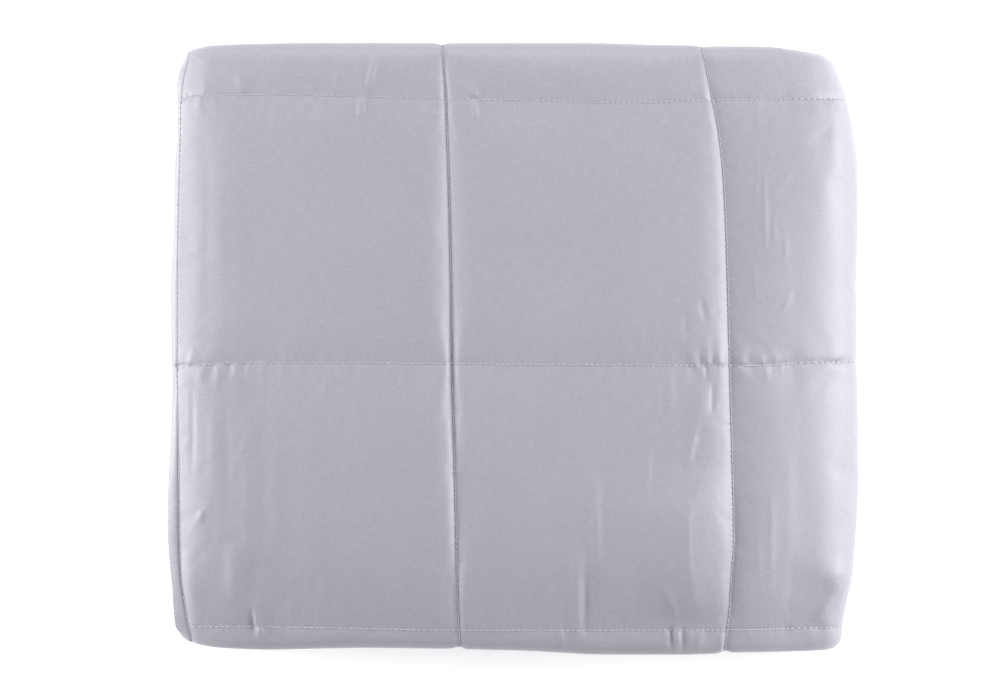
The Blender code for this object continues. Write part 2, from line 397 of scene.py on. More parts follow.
# %% Where the hem line and the seams on the top layer run, in millimetres from the middle
SEAMS_TO_BACK = (
    ("place", "hem", "first", "second"),
    (0.015, -179.8, -29.8, 118.2),
    (0.073, -182.4, -30.6, 120.4),
    (0.130, -185.0, -31.2, 121.4),
    (0.189, -185.8, -31.7, 122.7),
    (0.305, -186.2, -32.6, 122.0),
    (0.475, -187.2, -34.1, 120.4),
    (0.650, -187.3, -34.9, 119.0),
    (0.790, -186.1, -36.0, 116.8),
    (0.850, -185.6, -36.7, 114.6),
    (0.905, -185.2, -37.4, 111.2),
    (0.990, -181.0, -39.4, 105.2),
)
SEAMS_TO_RIGHT = (
    ("place", "front", "middle", "back"),
    (0.020, -155.0, -9.7, 140.8),
    (0.130, -155.2, -7.8, 141.1),
    (0.410, -156.9, -8.6, 138.6),
    (0.515, -156.9, -9.0, 137.8),
    (0.650, -156.9, -9.2, 136.4),
    (0.785, -156.9, -9.7, 138.1),
    (0.960, -155.8, -7.5, 138.8),
)


def line_shift(stops, targets, homes, at):
    """How far rows move so that the rows at the stops land on their targets."""
    stops, targets, homes = (np.stack(np.broadcast_arrays(*group)) for group in (stops, targets, homes))
    moves = targets - homes
    found = np.zeros_like(at)
    for k in range(len(stops) - 1):
        inside = (at >= stops[k]) & (at <= stops[k + 1])
        share = (at - stops[k]) / (stops[k + 1] - stops[k])
        found = np.where(inside, moves[k] + (moves[k + 1] - moves[k]) * share, found)
    return found


# %% How deep each seam draws in, and how wide its groove is on either side
GROOVES = (
    ("place", "first", "first_left", "first_right", "second", "second_left", "second_right", "hem"),
    (0.000, 1.4, 2.2, 1.5, 1.4, 2.2, 3.0, 0.6),
    (0.030, 1.9, 4.6, 1.5, 1.8, 2.4, 5.0, 0.6),
    (0.090, 2.6, 4.6, 1.5, 2.5, 2.5, 6.0, 0.75),
    (0.160, 2.8, 2.4, 2.6, 2.9, 2.5, 7.0, 0.9),
    (0.250, 2.9, 1.8, 4.0, 3.0, 2.5, 8.0, 0.75),
    (0.385, 3.0, 1.7, 2.1, 3.0, 2.4, 8.0, 0.4),
    (0.475, 3.0, 1.7, 1.9, 2.9, 2.3, 7.0, 0.2),
    (0.580, 3.1, 1.7, 1.9, 3.0, 2.3, 8.0, 0.1),
    (0.690, 3.0, 1.7, 1.7, 2.9, 2.3, 8.0, 0.1),
    (0.850, 2.4, 1.9, 1.9, 2.4, 2.3, 6.0, 0.1),
    (0.930, 2.0, 1.9, 1.9, 1.9, 2.2, 5.0, 0.1),
    (0.980, 1.4, 1.8, 1.8, 1.2, 2.0, 4.0, 0.1),
    (1.000, 1.0, 1.8, 1.8, 0.8, 1.8, 4.0, 0.1),
)
LOWER_GROOVE, LOWER_REACH = 1.4, 2.4
CROSS_GROOVES, CROSS_REACH = (0.4, 0.6, 0.5), 2.0
GROOVE_POWER = 1.3  # 1 would be a sharp valley, 2 a round one
SEAM_FLOOR = 0.0005  # half the width of the flat strip that the thread lies on
HEM_REACH = (0.25, 1.2)  # the hem groove's reach on its outer and inner side
PAST_MIDDLE = 0.0008  # how far past the middle of the cloth sewing may draw its face


def groove(distances, depth, reach_before, reach_after):
    """How far the face is drawn in beside a seam, more steeply on its narrower side."""
    reach = np.where(distances < 0, reach_before, reach_after) * MM
    beyond = np.maximum(np.abs(distances) - SEAM_FLOOR, 0)
    return depth * MM * np.exp(-((beyond / reach) ** GROOVE_POWER))


def drawn_in(s, t, v):
    """How far sewing draws in each point of the face where it lies outside its bundle."""
    found = 0 * s + 0 * t
    for seam, name in zip(SEAMS_ALONG, ("first", "second")):
        depth, before, after = (curve(GROOVES, name + end, v) for end in ("", "_left", "_right"))
        found = np.maximum(found, groove(s - seam, depth, before, after))
    found = np.maximum(found, groove(s - HEM, curve(GROOVES, "hem", v), *HEM_REACH))
    for seam in SEAMS_ALONG[2:]:
        found = np.maximum(found, groove(s - seam, LOWER_GROOVE, LOWER_REACH, LOWER_REACH))
    for seam, depth in zip(SEAMS_ACROSS, CROSS_GROOVES):
        found = found + groove(t - seam, depth, CROSS_REACH, CROSS_REACH)
    rests = (s > ALONG_STARTS[2]) & (s < ALONG_STARTS[3]) & (t > PANEL[0]) & (t < PANEL[1])
    outside = (t >= SHOWS_ACROSS[0]) & (t <= SHOWS_ACROSS[1])
    return np.where(outside & ~rests, found, 0)


# %% [markdown]
# ## Folding the cloth
#
# Now every name gets its place. A ply is thin and flat at its hem, where there
# is no filling, so the three plies of a bundle lie closer together there.


# %% Thickness, and how closely the plies lie
def fullness(distance, length):
    """How full the cloth is beside its edges: 0 on the hem, 1 past the border."""
    edge = np.minimum(distance, length - distance)
    return np.sin(np.clip((edge - HEM) / BORDER, 0, 1) * np.pi / 2)


def half_thickness(distance, length):
    """Half the cloth's thickness: rounded over its hem, then full."""
    edge = np.minimum(distance, length - distance)
    rounded = HEM_ROUND * np.sqrt(1 - (1 - np.minimum(edge / HEM_RISE, 1)) ** 2)
    return rounded + (PLY / 2 - HEM_ROUND) * fullness(distance, length)


def closeness(s):
    """How closely the plies lie at the two ends of the cloth, as a share of their pitch."""
    ply = 2 * (HEM_ROUND + (PLY / 2 - HEM_ROUND) * fullness(s, LENGTH))
    return (ply + PLY_PITCH - PLY) / PLY_PITCH


# %% Every point of the folded cloth
def cloth_points(rows_along, rows_across, side):
    """Points of one side of the cloth: 1 is its face, -1 its back."""
    s, t = rows_along[:, None], rows_across[None, :]
    x_line, z_line, face_x, face_z = (part[:, None] for part in on_line(ALONG, rows_along))
    y_line, out_line, face_y, face_out = (part[None, :] for part in on_line(ACROSS, rows_across))
    half = np.minimum(half_thickness(s, LENGTH), half_thickness(t, WIDTH))
    if side == 1:
        half = half - np.minimum(drawn_in(s, t, y_line / FOLDED_Y + 0.5), half + PAST_MIDDLE)
    out = out_line * closeness(s) + side * half * face_out
    x, z = x_line + out * face_x, z_line + out * face_z
    y = layered(s, y_line + side * half * face_y + 0 * x)
    place_x, place_y = on_outline(s, t, x, y)
    return np.stack([place_x, place_y, sunk(x, y, z)], axis=-1)


def on_outline(s, t, x, y):
    """Where points of the box go, with the seams of the top layer on their lines."""
    u, v = x / FOLDED_X + 0.5, y / FOLDED_Y + 0.5
    top_hem, second_hem, lower_fold = (
        curve(FRONT_TO_BACK, name, v) for name in ("top_hem", "second_hem", "lower_fold")
    )
    left = np.where(s < ALONG_STARTS[2], top_hem, np.where(s > ALONG_STARTS[5], second_hem, lower_fold))
    place_x, place_y = outlined(x, y, left)
    stops = [stop + 0 * v for stop in (0.0, HEM, *SEAMS_ALONG[:2], ALONG_STARTS[1])]
    homes = [outlined(left_hem + stop, y, top_hem)[0] for stop in stops]
    seams = [curve(SEAMS_TO_BACK, name, v) * MM for name in ("hem", "first", "second")]
    place_x = place_x + line_shift(stops, [homes[0], *seams, homes[4]], homes, s + 0 * v)
    stops = [stop + 0 * u for stop in (PANEL[0], *SEAMS_ACROSS, PANEL[1])]
    homes = [outlined(x, tight_end + stop - PANEL[0], left)[1] for stop in stops]
    seams = [curve(SEAMS_TO_RIGHT, name, u) * MM for name in ("front", "middle", "back")]
    place_y = place_y + line_shift(stops, [homes[0], *seams, homes[4]], homes, t + 0 * u)
    return place_x, place_y


face_points = cloth_points(ROWS_ALONG, ROWS_ACROSS, 1)
print("folded", np.round(np.ptp(face_points.reshape(-1, 3), axis=0) / MM, 1), "mm")

# %% [markdown]
# ## Filling the squares
#
# The filling presses each square outwards between its seams. Blender's cloth
# simulation does this well: a grid of the cloth that shows is held along its
# seams and blown up a little, with some spare cloth beside the seams, so that
# it gathers there as sewn cloth does. The grid is coarser than the cloth, and
# its movement is then read off smoothly at every point of the cloth.


# %% The simulation
SWELL_FRAMES = 18
PRESSURE = 5.0
MIDDLE_SLACK, SEAM_SLACK = 0.001, 0.035
SLACK_REACH = 0.012
MOST_SWELL = 0.0018


def swollen(points, held, slack):
    """A grid of points after its free squares have filled out between the held rows."""
    rows, columns = held.shape
    quads = [
        (i * columns + j, (i + 1) * columns + j, (i + 1) * columns + j + 1, i * columns + j + 1)
        for i in range(rows - 1)
        for j in range(columns - 1)
    ]
    mesh = bpy.data.meshes.new("swelling")
    mesh.from_pydata([tuple(point) for point in points.reshape(-1, 3)], [], quads)
    thing = bpy.data.objects.new("swelling", mesh)
    bpy.context.scene.collection.objects.link(thing)
    pins = thing.vertex_groups.new(name="held")
    pins.add([int(k) for k in np.flatnonzero(held.ravel())], 1.0, "REPLACE")
    loose = thing.vertex_groups.new(name="slack")
    for k, weight in enumerate(slack.ravel()):
        if weight > 0.01:
            loose.add([k], float(weight), "REPLACE")
    modifier = thing.modifiers.new("cloth", "CLOTH")
    settings = modifier.settings
    settings.quality = 6
    settings.vertex_group_mass = "held"
    settings.vertex_group_shrink = "slack"
    settings.shrink_min, settings.shrink_max = -MIDDLE_SLACK, -SEAM_SLACK
    settings.use_pressure = True
    settings.uniform_pressure_force = PRESSURE
    settings.effector_weights.gravity = 0
    settings.tension_stiffness = settings.compression_stiffness = 15
    settings.shear_stiffness = 5
    settings.bending_stiffness = 0.03
    settings.air_damping = 1
    modifier.point_cache.frame_start, modifier.point_cache.frame_end = 1, SWELL_FRAMES
    for step in range(1, SWELL_FRAMES + 1):
        bpy.context.scene.frame_set(step)
    found = thing.evaluated_get(bpy.context.evaluated_depsgraph_get()).data
    moved = np.empty(len(found.vertices) * 3)
    found.vertices.foreach_get("co", moved)
    moved = moved.reshape(points.shape)
    bpy.context.scene.frame_set(1)
    bpy.data.objects.remove(thing)
    bpy.data.meshes.remove(mesh)
    return moved


# %% Swell the cloth that shows
SWELL_STEP = 0.0030
swell_along = rows([(stop, SWELL_STEP) for stop in (HEM, *SEAMS_ALONG[:2], ALONG_STARTS[1], SHOWS_ALONG)])
swell_across = rows(
    [(SHOWS_ACROSS[0], 1.0)]
    + [(stop, SWELL_STEP) for stop in (PANEL[0], *SEAMS_ACROSS, PANEL[1], SHOWS_ACROSS[1])]
)[1:]


def swell_moves():
    """How far each point of the coarse grid moves when the squares fill out."""
    patch = cloth_points(swell_along, swell_across, 1)
    beside_along = np.abs(swell_along[:, None] - SEAMS_ALONG[None, :]).min(axis=1)
    beside_across = np.abs(swell_across[:, None] - SEAMS_ACROSS[None, :]).min(axis=1)
    held = (beside_along[:, None] < 1e-6) | (beside_across[None, :] < 1e-6)
    held[swell_along <= HEM + 1e-6] = held[-2:] = held[:, :2] = held[:, -2:] = True
    beside = np.minimum(beside_along[:, None], beside_across[None, :])
    moves = swollen(patch, held, np.exp(-((beside / SLACK_REACH) ** 2))) - patch
    size = np.linalg.norm(moves, axis=-1, keepdims=True)
    print("swelled by", np.round([size.mean() / MM, size.max() / MM], 2), "mm, mean and most")
    return moves * MOST_SWELL * np.tanh(size / MOST_SWELL) / np.maximum(size, 1e-9)


shows_along = ROWS_ALONG <= SHOWS_ALONG + 1e-6
shows_across = (ROWS_ACROSS >= SHOWS_ACROSS[0] - 1e-6) & (ROWS_ACROSS <= SHOWS_ACROSS[1] + 1e-6)
SHOWS = np.ix_(shows_along, shows_across)
moves = swell_moves()
moves = smooth_line(swell_along, moves, np.gradient(moves, swell_along, axis=0), ROWS_ALONG[shows_along])
moves = moves.transpose(1, 0, 2)
moves = smooth_line(
    swell_across, moves, np.gradient(moves, swell_across, axis=0), ROWS_ACROSS[shows_across]
)
face_points[SHOWS] += moves.transpose(1, 0, 2)

# %% [markdown]
# ## Creases, puckers and dimples
#
# Satin shows every crease. The main ones are placed on the cloth that is
# already folded: creases lie free in the squares, puckers start at a seam and
# fade away from it, and dimples are where a seam ends in a knot. A broad one
# is a bulge in the roll. Each is a soft ridge or trough that moves the cloth
# along its own normal.

# %% Creases: where each one runs, its bow, width and height, in millimetres
CREASES = (
    ("from_x", "from_y", "to_x", "to_y", "bow", "width", "height"),
    (-76.3, 163.1, -81.3, 142.5, 0, 1.5, 0.56),
    (-84.1, 138.6, -85.2, 128.1, 0, 1.4, 0.5),
    (-25.2, 146.9, -20.2, 139.7, 0, 1.4, 0.56),
    (-21.8, 138.1, -20.7, 125.8, 0, 1.4, 0.48),
    (-152.9, 153.6, -149.1, 141.4, 0, 1.5, 0.5),
    (-178.3, -19.9, -178.7, -73.1, 0, 1.0, -0.2),
    (-166.3, -50.8, -167.9, -117.5, 0, 2.2, -0.1),
    (-155.7, -71.9, -162.9, -82.5, 0, 1.2, 0.1),
    (-166.8, -83.1, -179.6, -101.4, 0, 1.3, 0.08),
    (-155.7, -107.5, -155.2, -143.1, 0, 4.2, 0.5),
    (-144.1, -117.5, -146.8, -141.9, 0, 4, -0.35),
    (-126.8, -140.8, -124.6, -155.3, 0, 1, 0.14),
    (-122.9, -139.7, -124.1, -153.1, 0, 1, 0.14),
    (-146.8, -144.2, -144.6, -159.7, 0, 1.5, -0.45),
    (-144.1, -145.3, -139.6, -161.9, 0, 1.5, 0.55),
    (-130.7, -150.8, -130.2, -161.9, 0, 1, 0.15),
    (-107.4, -137.5, -108.5, -161.9, 0, 2.2, 0.12),
    (75.4, -54.7, 73.7, -88.6, 0, 1.6, 0.25),
    (44.8, -67.5, 46.5, -127.5, 0, 2.8, 0.5),
    (35.1, -111.9, 35.1, -161.9, 0, 3.6, 0.6),
    (40.1, -123.1, 40.4, -163.1, 0, 2.2, -0.4),
    (24.3, -148.6, 27.6, -166.9, 0, 1.2, 0.3),
    (55.4, -117.5, 52.6, -139.7, 0, 1.6, 0.14),
    (81.5, -130.8, 90.4, -152.5, 2, 1.6, 0.4),
    (87.6, -154.2, 89.3, -168.6, 0, 1.8, -0.55),
    (90.9, -154.2, 91.5, -168.6, 0, 1.5, 0.5),
    (94.3, -155.3, 94.8, -168.6, 0, 1.2, -0.35),
    (103.7, -156.4, 103.2, -168.6, 0, 2.6, 0.3),
    (80.9, -20.8, 79.8, -39.7, 0, 1.2, 0.16),
    (88.2, -1.9, 85.9, -41.9, 0, 2.4, 0.2),
    (101.5, -42.5, 95.9, -66.9, 0, 2, 0.4),
    (105.9, -17.5, 100.4, -46.4, 0, 5, 0.4),
    (111.2, -19.2, 110.4, -35.8, 0, 1.2, -0.35),
    (104.8, 28.1, 108.2, 14.7, -1, 1.2, -0.35),
    (95.9, 20.3, 95.4, 5.8, 0, 1.4, -0.25),
    (116.5, -158.6, 115.4, -169.2, 0, 1.2, 0.4),
    (70.9, 23.6, 70.9, 1.4, 0, 1, 0.12),
    (135.4, 108.6, 133.7, 77.5, 1, 1.1, 0.16),
    (139.3, 100.3, 140.1, 51.9, 0, 1.4, 0.26),
    (140.4, 81.9, 155.4, 98.6, 0, 1.1, 0.26),
    (133.7, 46.9, 135.4, 25.3, 0, 1, 0.13),
    (148.7, 20.3, 155.4, 30.8, 0, 1.1, 0.2),
    (124.3, 94.7, 126.5, 105.8, 0, 1, 0.1),
    (168.2, 84.7, 185.9, 90.8, 0, 1, 0.16),
    (159.3, 70.8, 162.6, 75.3, 0, 0.9, 0.12),
    (143.7, -77.5, 143.7, -130.8, 0, 1.6, 0.1),
    (135.4, -94.2, 138.2, -141.9, 0, 1.6, 0.07),
    (162.6, -71.9, 163.7, -142.5, 0, 4, -0.12),
    (153.7, -50.8, 152.6, -139.7, 0, 3.2, 0.07),
    (167.1, -153.1, 179.3, -135.8, 0, 1.6, 0.4),
    (150.4, -131.9, 176.9, -129.7, 0, 6, -0.16),
    (173.7, -139.7, 175.9, -161.9, 0, 4, 0.3),
    (-169.6, 110.3, -170.2, 1.9, 0, 3, -0.06),
    (-161.8, 99.2, -161.8, 4.7, 0, 2.2, 0.04),
    (-151.8, 82.5, -152.4, -0.8, 0, 3, 0.05),
    (-166.8, -29.7, -166.8, -95.3, 0, 2.6, 0.18),
    (-159.6, -26.4, -158.5, -96.4, 0, 2.4, -0.16),
    (-148.5, -33.1, -147.4, -141.9, 0, 3.2, 0.18),
    (-139.6, -39.7, -138.5, -117.5, 0, 2.6, -0.12),
    (-131.8, -45.3, -130.7, -119.7, 0, 3.2, 0.14),
    (-112.9, -50.8, -114.1, -134.2, 0, 5, 0.12),
    (-93.5, -67.5, -95.7, -139.7, 0, 6, -0.12),
    (59.3, -106.4, 57.1, -151.9, 0, 4.5, 0.16),
    (68.2, -117.5, 70.4, -161.9, 0, 3, -0.14),
    (14.8, -67.5, 12.6, -139.7, 0, 7, 0.1),
    (-5.7, -117.5, -7.4, -161.9, 0, 4, 0.1),
    (135.3, 137.0, 135.6, 119.8, 0, 1, 0.16),
    (144.8, 73.0, 145.4, 57.5, 0, 1, 0.14),
    (158.7, 118.0, 163.4, 110.4, 0, 1, 0.16),
    (151.5, 62.5, 150.9, 47.5, 0, 1, 0.12),
    (-142.4, -41.9, -158.5, -71.9, 0, 1, 0.12),
    (-99.0, -13.6, -111.3, -30.8, 0, 1, 0.12),
    (-135.0, -38.0, -128.1, -58.1, 0, 1, 0.1),
    (-118.1, 163.1, -113.7, 150.8, 0, 1.4, 0.16),
    (-96.8, 156.9, -99.0, 141.9, 0, 1.2, 0.2),
    (-60.7, 159.7, -66.3, 143.1, 0, 1.3, 0.18),
    (-104.0, 132.5, -105.7, 117.5, 0, 1.2, 0.14),
    (-131.8, 136.4, -134.6, 116.4, 0, 1.5, 0.14),
    (-46.3, -117.5, -45.2, -161.9, 0, 4, 0.1),
    (-180.5, -112.0, -177.0, -167.0, 0, 5, 0.45),
    (178.5, 152.0, 180.5, 96.0, 0, 6, 0.35),
)
print(len(CREASES) - 1, "creases")

# %% Puckers: the seam and the side they start from, place, length, lean, width, height
PUCKERS = (
    ("seam", "way", "at", "length", "lean", "width", "height"),
    ("back", 1, -171.3, 14, -1, 1.2, 0.22),
    ("back", 1, -152.9, 20, -3, 1.4, 0.18),
    ("back", 1, -118.5, 12, 1, 1.2, 0.1),
    ("back", 1, -78.5, 14, 2, 1.1, 0.1),
    ("back", 1, -19.6, 8, -4, 1.1, 0.18),
    ("back", 1, -3.5, 8, -1, 1, 0.12),
    ("back", 1, 58.2, 8, -1, 1, 0.12),
    ("back", 1, 106.5, 12, -1, 1.4, 0.2),
    ("back", 1, 123.2, 10, -2, 1.3, 0.22),
    ("back", 1, 132.6, 8, 0, 1.2, 0.15),
    ("back", 1, 165.9, 10, 0, 1.6, 0.25),
    ("back", -1, -174.1, 16, 0, 1.8, 0.25),
    ("back", -1, -165.2, 12, 0, 1.3, 0.2),
    ("back", -1, -137.4, 14, -2, 1.2, 0.22),
    ("back", -1, -134.1, 8, -1, 1, 0.14),
    ("back", -1, -84.6, 12, -1, 1, 0.14),
    ("back", -1, -21.3, 14, 1, 1, 0.16),
    ("back", -1, 13.7, 10, 0, 1, 0.1),
    ("back", -1, 70.4, 10, -1, 1, 0.1),
    ("back", -1, 137.1, 12, 0, 1.3, 0.18),
    ("back", -1, 167.6, 14, 2, 1.8, 0.3),
    ("middle", 1, -179.6, 14, 1, 1.6, 0.3),
    ("middle", 1, -125.7, 16, 0, 1.4, 0.2),
    ("middle", 1, -122.9, 10, 1, 1, 0.26),
    ("middle", 1, -96.3, 10, 0, 1.2, 0.1),
    ("middle", 1, -56.8, 8, 0, 1, 0.1),
    ("middle", 1, -2.9, 12, -1, 1.1, 0.26),
    ("middle", 1, 15.4, 9, -2, 1, 0.12),
    ("middle", 1, 25.9, 10, 0, 1, 0.1),
    ("middle", 1, 62.1, 26, -2, 1.2, 0.16),
    ("middle", 1, 70.9, 24, 0, 1, 0.12),
    ("middle", 1, 99.3, 24, -1, 3, 0.5),
    ("middle", 1, 96.5, 14, -1, 1.3, -0.4),
    ("middle", 1, 104.3, 10, 0, 1.3, -0.4),
    ("middle", 1, 108.2, 22, -2, 1.8, 0.55),
    ("middle", 1, 114.3, 18, -1, 1.7, 0.55),
    ("middle", 1, 111.5, 9, 0, 1.2, -0.35),
    ("middle", 1, 127.1, 14, -1, 1.8, 0.5),
    ("middle", 1, 132.1, 9, -1, 1.5, -0.35),
    ("middle", 1, 138.7, 9, -2, 1.6, 0.5),
    ("middle", 1, 145.9, 6, 0, 1.3, 0.25),
    ("middle", 1, 159.3, 6, 0, 1.3, 0.12),
    ("middle", 1, 177.6, 8, 1, 1.8, 0.4),
    ("middle", 1, 172.6, 7, 1, 1.3, -0.25),
    ("middle", -1, -172.9, 14, -1, 1.3, 0.26),
    ("middle", -1, -167.9, 9, 0, 1.2, -0.25),
    ("middle", -1, -163.5, 20, -1, 1.7, 0.42),
    ("middle", -1, -158.5, 12, 0, 1.4, -0.3),
    ("middle", -1, -154.1, 20, 2, 1.8, 0.5),
    ("middle", -1, -150.2, 10, 0, 1.3, -0.3),
    ("middle", -1, -146.8, 16, 1, 1.3, 0.3),
    ("middle", -1, -139.1, 22, 0, 1.5, 0.2),
    ("middle", -1, -129.1, 12, 1, 1.1, 0.24),
    ("middle", -1, -118.5, 10, 0, 1, 0.1),
    ("middle", -1, -108.5, 12, -1, 1.2, 0.16),
    ("middle", -1, -95.2, 20, -6, 1.6, 0.14),
    ("middle", -1, -82.9, 10, 0, 1, 0.1),
    ("middle", -1, -51.8, 8, 0, 1, 0.08),
    ("middle", -1, -8.5, 8, 1, 1, 0.1),
    ("middle", -1, 17.6, 8, 0, 1, 0.1),
    ("middle", -1, 54.8, 10, -1, 1, 0.14),
    ("middle", -1, 75.9, 12, -2, 1.2, 0.12),
    ("middle", -1, 99.8, 14, -2, 1.4, -0.35),
    ("middle", -1, 104.3, 12, 1, 1.6, 0.45),
    ("middle", -1, 107.3, 9, 0, 1.2, -0.4),
    ("middle", -1, 110.4, 11, 0, 1.5, 0.42),
    ("middle", -1, 114.3, 8, 0, 1.2, 0.25),
    ("middle", -1, 126.5, 11, 1, 2, 0.55),
    ("middle", -1, 132.6, 8, 1, 1.5, -0.35),
    ("middle", -1, 140.4, 11, 0, 1.7, 0.55),
    ("middle", -1, 148.7, 6, 0, 1.2, 0.25),
    ("middle", -1, 157.1, 5, 0, 1.2, 0.2),
    ("middle", -1, 175.4, 6, 0, 1.6, 0.3),
    ("front", 1, -156.3, 14, -2, 1.3, 0.16),
    ("front", 1, -139.6, 12, -1, 1.1, 0.16),
    ("front", 1, -101.8, 8, 1, 1, 0.1),
    ("front", 1, -60.2, 8, 0, 1, 0.1),
    ("front", 1, -18.5, 7, 1, 1, 0.1),
    ("front", 1, 11.5, 14, 0, 1.1, 0.16),
    ("front", 1, 51.5, 10, -1, 1.1, 0.14),
    ("front", 1, 70.4, 12, 1, 1.4, 0.18),
    ("front", 1, 102.1, 10, 1, 1.3, 0.2),
    ("front", 1, 128.7, 8, 0, 1.2, 0.16),
    ("front", 1, 154.8, 12, 3, 1.5, 0.26),
    ("front", -1, -141.8, 10, 2, 1.4, 0.35),
    ("front", -1, -130.7, 8, 0, 1, 0.2),
    ("front", -1, -57.4, 8, 0, 1.2, 0.14),
    ("front", -1, 14.8, 8, 0, 1.1, 0.16),
    ("front", -1, 26.5, 10, 1, 1.1, 0.3),
    ("front", -1, 84.3, 10, 2, 1.5, 0.4),
    ("front", -1, 98.2, 10, -1, 1.4, 0.35),
    ("front", -1, 132.6, 8, 0, 1.2, 0.2),
    ("front", -1, 165.9, 10, 2, 1.8, 0.35),
)
print(len(PUCKERS) - 1, "puckers")

# %% Dimples, and the facet beside the second seam
DIMPLES = (
    ("x", "y", "width", "depth"),
    (-173.8, -93.6, 1.5, -1.1),
    (-171.2, -94.4, 1.4, 0.5),
    (181.0, -129.0, 9.0, -1.9),
    (183.4, -130.4, 2.2, 1.1),
    (-184.1, 139.7, 1.4, 0.5),
    (-181.3, 140.8, 1.2, 0.4),
    (-186.8, -9.7, 1.3, 0.6),
    (-184.1, -9.7, 1.3, 0.5),
    (175.4, 139.7, 1.5, 0.55),
    (171.5, 139.2, 1, 0.25),
    (179.8, -7.5, 1.4, 0.6),
    (186.5, -6.9, 1.6, 0.7),
    (173.7, -156.9, 1.3, 0.5),
    (178.7, -156.4, 1.3, 0.6),
)
FACET_REACH = 30.0  # how far left of its edge the cloth rises towards it
FACET = (
    ("place", "edge", "rise"),
    (0.054, 105.4, 0.0),
    (0.094, 100.9, 2.6),
    (0.151, 97.6, 4.2),
    (0.205, 96.8, 4.4),
    (0.236, 97.6, 3.9),
    (0.264, 102.1, 2.3),
    (0.310, 105.9, 0.0),
)
FACET_RIDGE = 0.055  # how much higher its edge itself stands, against its rise


# %% How high each of them lifts the cloth
def crease_height(x, y, from_x, from_y, to_x, to_y, bow, width, height):
    run_x, run_y = to_x - from_x, to_y - from_y
    length = math.hypot(run_x, run_y)
    share = ((x - from_x) * run_x + (y - from_y) * run_y) / length**2
    arch = 4 * np.clip(share, 0, 1) * (1 - np.clip(share, 0, 1))
    beside = ((y - from_y) * run_x - (x - from_x) * run_y) / length - bow * arch
    return height * arch**0.7 * np.exp(-((beside / width) ** 2))


def pucker_height(x, y, seam, way, at, length, lean, width, height):
    away = (y - curve(SEAMS_TO_RIGHT, seam, x * MM / FOLDED_X + 0.5)) * way
    share = np.clip(away / length, 0, 1)
    fade = (1 - np.exp(-np.maximum(away, 0) / 1.2)) * (1 - share) ** 1.4
    return height * fade * np.exp(-(((x - at - lean * share) / (width * (1 + 0.7 * share))) ** 2))


def dimple_height(x, y, at_x, at_y, width, depth):
    return -depth * np.exp(-((x - at_x) ** 2 + (y - at_y) ** 2) / width**2)


def facet_height(x, y):
    v = y * MM / FOLDED_Y + 0.5
    edge, seam = curve(FACET, "edge", v), curve(SEAMS_TO_BACK, "second", v)
    past = np.clip((x - edge) / (seam - edge), 0, 1)
    before = np.exp(-((np.minimum(x - edge, 0) / FACET_REACH) ** 2))
    ridge = FACET_RIDGE * np.exp(-((x - edge) ** 2))
    return curve(FACET, "rise", v) * (np.where(x > edge, 1 - past, before) + ridge)


# %% Gentle unevenness of the filling, the same each time
UNEVEN = (
    ("across", "lengthwise", "height"),
    (9.0, 42.0, 0.10),
    (26.0, 60.0, 0.22),
    (4.5, 12.0, 0.03),
)


def uneven_height(x, y):
    found = np.zeros(x.shape)
    for k, (across, lengthwise, height) in enumerate(UNEVEN[1:]):
        flat = [noise.noise((a / across, b / lengthwise, 7.3 * k)) for a, b in zip(x.flat, y.flat)]
        found += height * np.reshape(flat, x.shape)
    return found


# %% Press them into the cloth
CREASE_GAIN = 2.4


def normals_of(points):
    """Which way each point of a grid faces."""
    found = np.cross(np.gradient(points, axis=0), np.gradient(points, axis=1))
    return found / np.maximum(np.linalg.norm(found, axis=-1, keepdims=True), 1e-12)


shown = face_points[SHOWS]
facing = normals_of(shown)
x, y = shown[..., 0] / MM, shown[..., 1] / MM
heights = uneven_height(x, y) + facet_height(x, y)
for row in CREASES[1:]:
    heights = heights + CREASE_GAIN * crease_height(x, y, *row)
for row in PUCKERS[1:]:
    heights = heights + CREASE_GAIN * pucker_height(x, y, *row)
for row in DIMPLES[1:]:
    heights = heights + dimple_height(x, y, *row)
heights = heights * np.clip(facing[..., 2] * 1.6 - 0.1, 0, 1)
face_points[SHOWS] = shown + facing * heights[..., None] * MM
on_the_flat = (100, 60)  # a row and a column well inside the top
print("the top of the cloth faces up:", round(float(facing[on_the_flat][2]), 3))
print("creases lift it by", np.round([heights.min(), heights.max()], 2), "mm, least and most")

# %% [markdown]
# ## One closed cloth
#
# The face is fine and the back, which never shows, is coarse. They share their
# rim at the rounded hems, so the cloth is one closed skin. Along that rim the
# back is split into fans, so that no triangle of it lies flat on the rim. Each
# point keeps its two distances as a UV map, in metres, which the weave follows.


# %% Join the face and the back
def thinned(distances, room):
    """Indices of rows at least room apart, with those at the hems all kept."""
    kept = [0]
    for k in range(1, len(distances)):
        at_hem = min(distances[k], distances[-1] - distances[k]) < HEM * 1.01
        if at_hem or distances[k] - distances[kept[-1]] > room:
            kept.append(k)
    return kept


def fan(ring, inner_corner):
    """Triangles from a polygon's inner corner, so that none lies flat along the rim."""
    first = ring.index(inner_corner)
    ring = ring[first:] + ring[:first]
    return [(ring[0], *pair) for pair in zip(ring[1:], ring[2:])]


